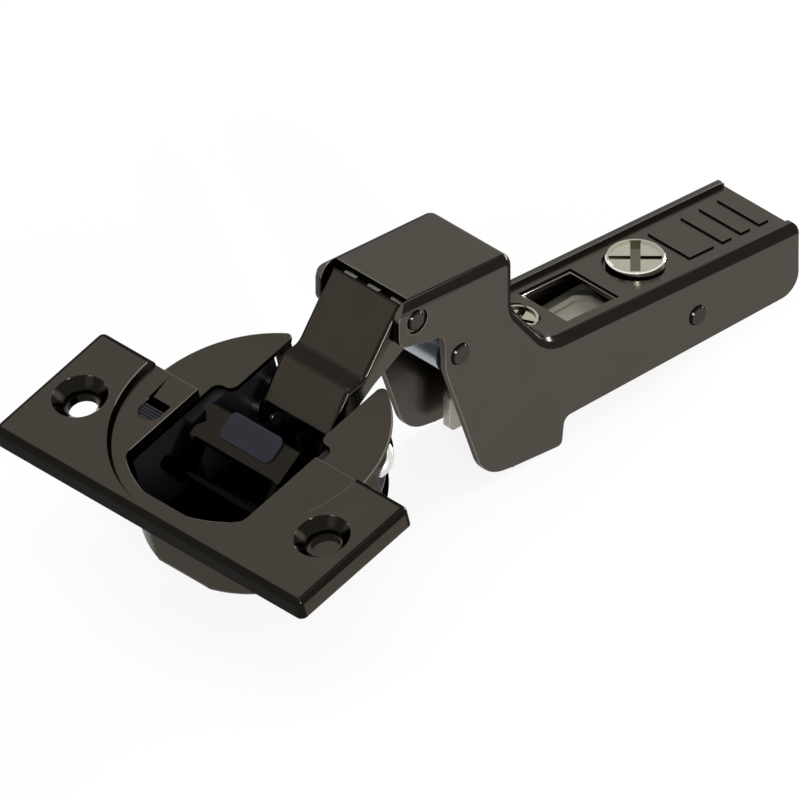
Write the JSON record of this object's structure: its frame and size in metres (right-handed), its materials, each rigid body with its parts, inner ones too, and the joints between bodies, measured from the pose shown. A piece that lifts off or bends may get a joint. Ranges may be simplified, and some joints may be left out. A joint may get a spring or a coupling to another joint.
{
  "type": "concealed cup hinge",
  "caption": "Concealed cup hinge with soft-close damper, winged door cup, folded links and a cranked clip-on arm with depth and side adjusting screws.",
  "frame": {"origin": "centre of the clip seat on the mounting plate, under the axis of the depth screw", "axes": "+X along the arm towards its rear end, +Y along the hinge pins, +Z away from the furniture panel"},
  "size_m": [0.1135, 0.057, 0.0366],
  "materials": {
    "clip_carrier": "die-cast zinc, satin",
    "latch_pin": "bright zinc",
    "latch_spring": "spring wire",
    "clip_latch": "black nickel, satin",
    "adjusting_slide": "nickel, satin",
    "depth_adjust_cam": "bright nickel",
    "hinge_arm": "black nickel, glossy",
    "front_rivet": "black nickel",
    "rear_rivet": "black nickel",
    "tilt_rivets": "black nickel",
    "pivot_spacers": "light grey moulded",
    "closing_spring": "oiled spring wire",
    "side_adjust_screw": "bright nickel",
    "outer_link": "black nickel, glossy",
    "inner_link": "zinc, satin",
    "wing_plate": "black nickel, glossy",
    "cup_shell": "black nickel, glossy",
    "damper_housing_left": "slate grey moulded",
    "damper_housing_right": "slate grey moulded",
    "hinge_wire_left": "bright nickel",
    "hinge_wire_right": "bright nickel",
    "damper_cylinder": "dark grey moulded",
    "damper_rod": "ground steel",
    "flap_lever": "nickel, glossy",
    "flap_pad": "slate grey moulded",
    "flap_shaft": "ground steel",
    "damper_switch": "slate grey moulded"
  },
  "bodies": {
    "carrier": {"clip_carrier": "clip_carrier", "latch_pin": "latch_pin", "latch_spring": "latch_spring"},
    "latch": {"clip_latch": "clip_latch"},
    "slide": {"adjusting_slide": "adjusting_slide"},
    "cam": {"depth_adjust_cam": "depth_adjust_cam"},
    "arm": {"hinge_arm": "hinge_arm", "front_rivet": "front_rivet", "rear_rivet": "rear_rivet", "tilt_rivets": "tilt_rivets", "pivot_spacers": "pivot_spacers", "closing_spring": "closing_spring"},
    "side_screw": {"side_adjust_screw": "side_adjust_screw"},
    "outer": {"outer_link": "outer_link"},
    "inner": {"inner_link": "inner_link"},
    "cup": {"wing_plate": "wing_plate", "cup_shell": "cup_shell", "damper_housing_left": "damper_housing_left", "damper_housing_right": "damper_housing_right", "hinge_wire_left": "hinge_wire_left", "hinge_wire_right": "hinge_wire_right", "damper_cylinder": "damper_cylinder"},
    "flap": {"flap_lever": "flap_lever", "flap_pad": "flap_pad", "flap_shaft": "flap_shaft"},
    "rod": {"damper_rod": "damper_rod"},
    "switch": {"damper_switch": "damper_switch"}
  },
  "joints": [
    {"name": "depth_slide", "type": "slide", "parent": "carrier", "child": "slide", "axis": [1, 0, 0], "range_m": [-0.002, 0.002]},
    {"name": "depth_turn", "type": "hinge", "parent": "slide", "child": "cam", "pos_m": [0, 0, 0], "axis": [0, 0, 1], "range_deg": [-65.2, 65.2]},
    {"name": "side_tilt", "type": "hinge", "parent": "slide", "child": "arm", "pos_m": [0.0038, 0, 0.0059], "axis": [0, 1, 0], "range_deg": [-2.5, 2.5]},
    {"name": "side_turn", "type": "hinge", "parent": "arm", "child": "side_screw", "pos_m": [-0.022, 0, 0], "axis": [0, 0, 1], "range_deg": [-510, 510]},
    {"name": "cup_fold", "type": "hinge", "parent": "outer", "child": "cup", "pos_m": [-0.06143, 0, 0.01533], "axis": [0, 1, 0], "range_deg": [-0.1, 115.5]},
    {"name": "link_swing", "type": "hinge", "parent": "arm", "child": "outer", "pos_m": [-0.0483, 0, 0.031], "axis": [0, 1, 0], "range_deg": [-9.7, 0]},
    {"name": "lever_swing", "type": "hinge", "parent": "cup", "child": "inner", "pos_m": [-0.05876, 0, 0.01811], "axis": [0, 1, 0], "range_deg": [-132, 0.1]},
    {"name": "flap_push", "type": "hinge", "parent": "cup", "child": "flap", "pos_m": [-0.07621, 0, 0.01292], "axis": [0, 1, 0], "range_deg": [-0.1, 70]},
    {"name": "rod_push", "type": "slide", "parent": "cup", "child": "rod", "axis": [0.9659, 0, 0.2588], "range_m": [-0.00001, 0.00345]},
    {"name": "switch_slide", "type": "slide", "parent": "cup", "child": "switch", "axis": [0.9659, 0, 0.2588], "range_m": [0, 0.0012]},
    {"name": "latch_release", "type": "hinge", "parent": "carrier", "child": "latch", "pos_m": [0.0105, 0, 0.0026], "axis": [0, 1, 0], "range_deg": [0, 8], "stiffness_Nm_per_rad": 0.004, "springref_deg": -17.19}
  ],
  "couplings": [
    {"joint": "depth_turn", "follows": "depth_slide", "rad_per_m": 567.2},
    {"joint": "side_turn", "follows": "side_tilt", "ratio": 202.84},
    {"joint": "cup_fold", "follows": "link_swing", "ratio": -11.825},
    {"joint": "lever_swing", "follows": "link_swing", "ratio": 13.504},
    {"joint": "flap_push", "follows": "link_swing", "ratio": -7.1134},
    {"joint": "rod_push", "follows": "link_swing", "m_per_rad": -0.020083}
  ]
}
